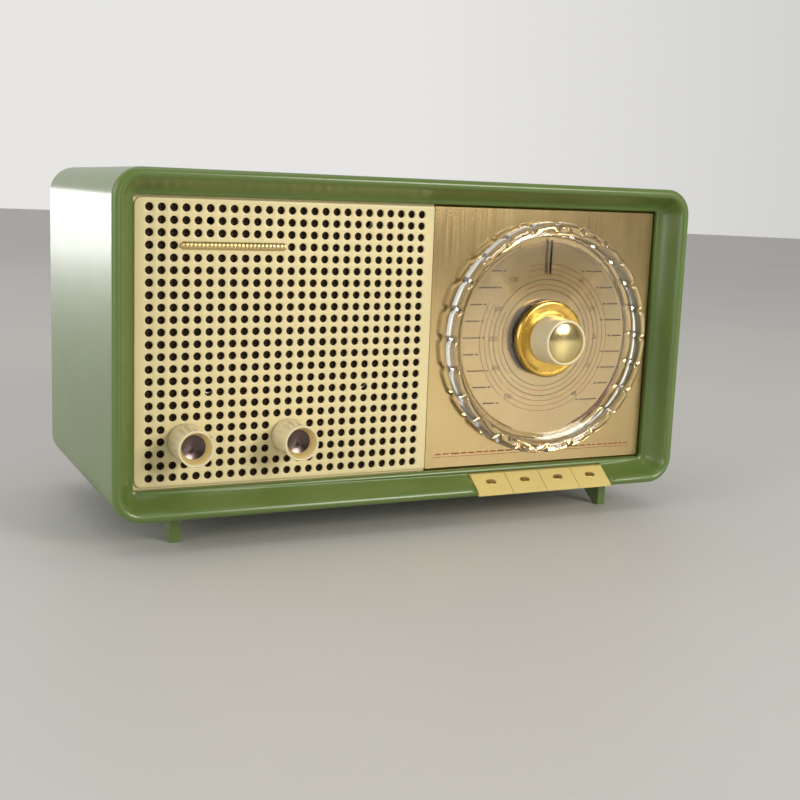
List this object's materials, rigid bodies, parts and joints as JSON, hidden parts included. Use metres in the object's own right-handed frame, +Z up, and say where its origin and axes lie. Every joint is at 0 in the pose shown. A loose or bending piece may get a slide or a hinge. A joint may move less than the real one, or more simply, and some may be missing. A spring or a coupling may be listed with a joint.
{
  "type": "tabletop radio",
  "caption": "Small valve table radio: rounded green cabinet, perforated grille, large clear tuning disc, small knobs and piano keys on low feet.",
  "frame": {"origin": "centre of the footprint, on the surface that the feet stand on", "axes": "+Z up, the front faces -Y, +X to the right seen from the front"},
  "size_m": [0.2726, 0.143, 0.1538],
  "materials": {
    "cabinet_green": "satin moulded",
    "grille_cream": "moulded",
    "trim_gold": "satin",
    "cloth_brown": "woven",
    "dial_gold": "brushed, gold anodised",
    "cover_brown": "pressed board",
    "screw_steel": "zinc plated",
    "dark_plastic": "moulded",
    "brass": "turned",
    "plated_steel": "passivated",
    "wafer_brown": "laminated",
    "valve_glass": "clear",
    "magnet_grey": "painted",
    "aluminium": "plain",
    "ferrite": "sintered",
    "coil_brown": "waxed",
    "laminations": "varnished",
    "clip_plastic": "moulded",
    "cord": "braided",
    "clear_plastic": "clear moulded",
    "pointer_brown": "printed",
    "knob_cream": "moulded",
    "ring_amber": "satin",
    "dome_gold": "spun",
    "insert_dark": "turned",
    "shaft_steel": "ground",
    "drum_plastic": "moulded",
    "key_cream": "moulded",
    "cone_paper": "pressed",
    "spring_steel": "hardened"
  },
  "bodies": {
    "case": {"cabinet": "cabinet_green", "grille_panel": "grille_cream", "trim_bar": "trim_gold", "speaker_cloth": "cloth_brown", "dial_plate": "dial_gold", "front_feet": "cabinet_green", "rear_feet": "cabinet_green", "back_cover": "cover_brown", "back_screws": "screw_steel", "mains_inlet": "dark_plastic", "inlet_pins": "brass", "socket_strip": "dark_plastic", "chassis": "plated_steel", "chassis_screws": "screw_steel", "valve_sockets": "wafer_brown", "valves": "valve_glass", "speaker_basket": "plated_steel", "speaker_magnet": "magnet_grey", "capacitor_frame": "plated_steel", "capacitor_stator": "aluminium", "volume_control": "plated_steel", "tone_control": "plated_steel", "spindle_bush": "brass", "switch_frame": "plated_steel", "switch_block": "wafer_brown", "key_hinge_rod": "shaft_steel", "output_transformer": "laminations", "mains_transformer": "laminations", "smoothing_capacitor": "aluminium", "if_cans": "aluminium", "ferrite_rod": "ferrite", "rod_coils": "coil_brown", "rod_clips": "clip_plastic", "drive_cord": "cord", "key_springs": "spring_steel"},
    "tuning": {"dial_disc": "clear_plastic", "pointer": "pointer_brown", "tuning_knob": "knob_cream", "knob_ring": "ring_amber", "knob_dome": "dome_gold", "dial_spindle": "shaft_steel", "drive_pulley": "brass"},
    "capacitor": {"capacitor_rotor": "aluminium", "drive_drum": "drum_plastic"},
    "volume": {"volume_knob": "knob_cream", "volume_insert": "insert_dark", "volume_shaft": "shaft_steel"},
    "tone": {"tone_knob": "knob_cream", "tone_insert": "insert_dark", "tone_shaft": "shaft_steel"},
    "latch": {"latch_bar": "plated_steel"},
    "cone": {"speaker_cone": "cone_paper"},
    "key_1_body": {"key_1": "key_cream"},
    "slide_1_body": {"switch_slide_1": "wafer_brown"},
    "key_2_body": {"key_2": "key_cream"},
    "slide_2_body": {"switch_slide_2": "wafer_brown"},
    "key_3_body": {"key_3": "key_cream"},
    "slide_3_body": {"switch_slide_3": "wafer_brown"},
    "key_4_body": {"key_4": "key_cream"},
    "slide_4_body": {"switch_slide_4": "wafer_brown"}
  },
  "joints": [
    {"name": "tuning_turn", "type": "hinge", "parent": "case", "child": "tuning", "pos_m": [0.06688, -0.0515, 0.0835], "axis": [0, 1, 0], "range_deg": [-160, 160]},
    {"name": "capacitor_turn", "type": "hinge", "parent": "case", "child": "capacitor", "pos_m": [0.1, -0.0115, 0.07225], "axis": [0, 1, 0], "range_deg": [-82, 82]},
    {"name": "volume_turn", "type": "hinge", "parent": "case", "child": "volume", "pos_m": [-0.10375, -0.0515, 0.0435], "axis": [0, 1, 0], "range_deg": [-140, 140]},
    {"name": "tone_turn", "type": "hinge", "parent": "case", "child": "tone", "pos_m": [-0.05875, -0.0515, 0.0435], "axis": [0, 1, 0], "range_deg": [-140, 140]},
    {"name": "cone_travel", "type": "slide", "parent": "case", "child": "cone", "axis": [0, -1, 0], "range_m": [-0.001, 0.001], "stiffness_N_per_m": 1200},
    {"name": "latch_travel", "type": "slide", "parent": "case", "child": "latch", "axis": [1, 0, 0], "range_m": [0, 0.0015], "stiffness_N_per_m": 300, "springref_m": -0.001},
    {"name": "key_1_press", "type": "hinge", "parent": "case", "child": "key_1_body", "pos_m": [0.0375, -0.0215, 0.02425], "axis": [1, 0, 0], "range_deg": [0, 6], "stiffness_Nm_per_rad": 0.25, "springref_deg": -4.58},
    {"name": "slide_1_travel", "type": "slide", "parent": "case", "child": "slide_1_body", "axis": [0, -1, 0], "range_m": [0, 0.0019]},
    {"name": "key_2_press", "type": "hinge", "parent": "case", "child": "key_2_body", "pos_m": [0.0555, -0.0215, 0.02425], "axis": [1, 0, 0], "range_deg": [0, 6], "stiffness_Nm_per_rad": 0.25, "springref_deg": -4.58},
    {"name": "slide_2_travel", "type": "slide", "parent": "case", "child": "slide_2_body", "axis": [0, -1, 0], "range_m": [0, 0.0019]},
    {"name": "key_3_press", "type": "hinge", "parent": "case", "child": "key_3_body", "pos_m": [0.0735, -0.0215, 0.02425], "axis": [1, 0, 0], "range_deg": [0, 6], "stiffness_Nm_per_rad": 0.25, "springref_deg": -4.58},
    {"name": "slide_3_travel", "type": "slide", "parent": "case", "child": "slide_3_body", "axis": [0, -1, 0], "range_m": [0, 0.0019]},
    {"name": "key_4_press", "type": "hinge", "parent": "case", "child": "key_4_body", "pos_m": [0.0915, -0.0215, 0.02425], "axis": [1, 0, 0], "range_deg": [0, 6], "stiffness_Nm_per_rad": 0.25, "springref_deg": -4.58},
    {"name": "slide_4_travel", "type": "slide", "parent": "case", "child": "slide_4_body", "axis": [0, -1, 0], "range_m": [0, 0.0019]}
  ],
  "couplings": [
    {"joint": "capacitor_turn", "follows": "tuning_turn", "ratio": 0.5},
    {"joint": "slide_1_travel", "follows": "key_1_press", "m_per_rad": 0.018},
    {"joint": "slide_2_travel", "follows": "key_2_press", "m_per_rad": 0.018},
    {"joint": "slide_3_travel", "follows": "key_3_press", "m_per_rad": 0.018},
    {"joint": "slide_4_travel", "follows": "key_4_press", "m_per_rad": 0.018}
  ]
}
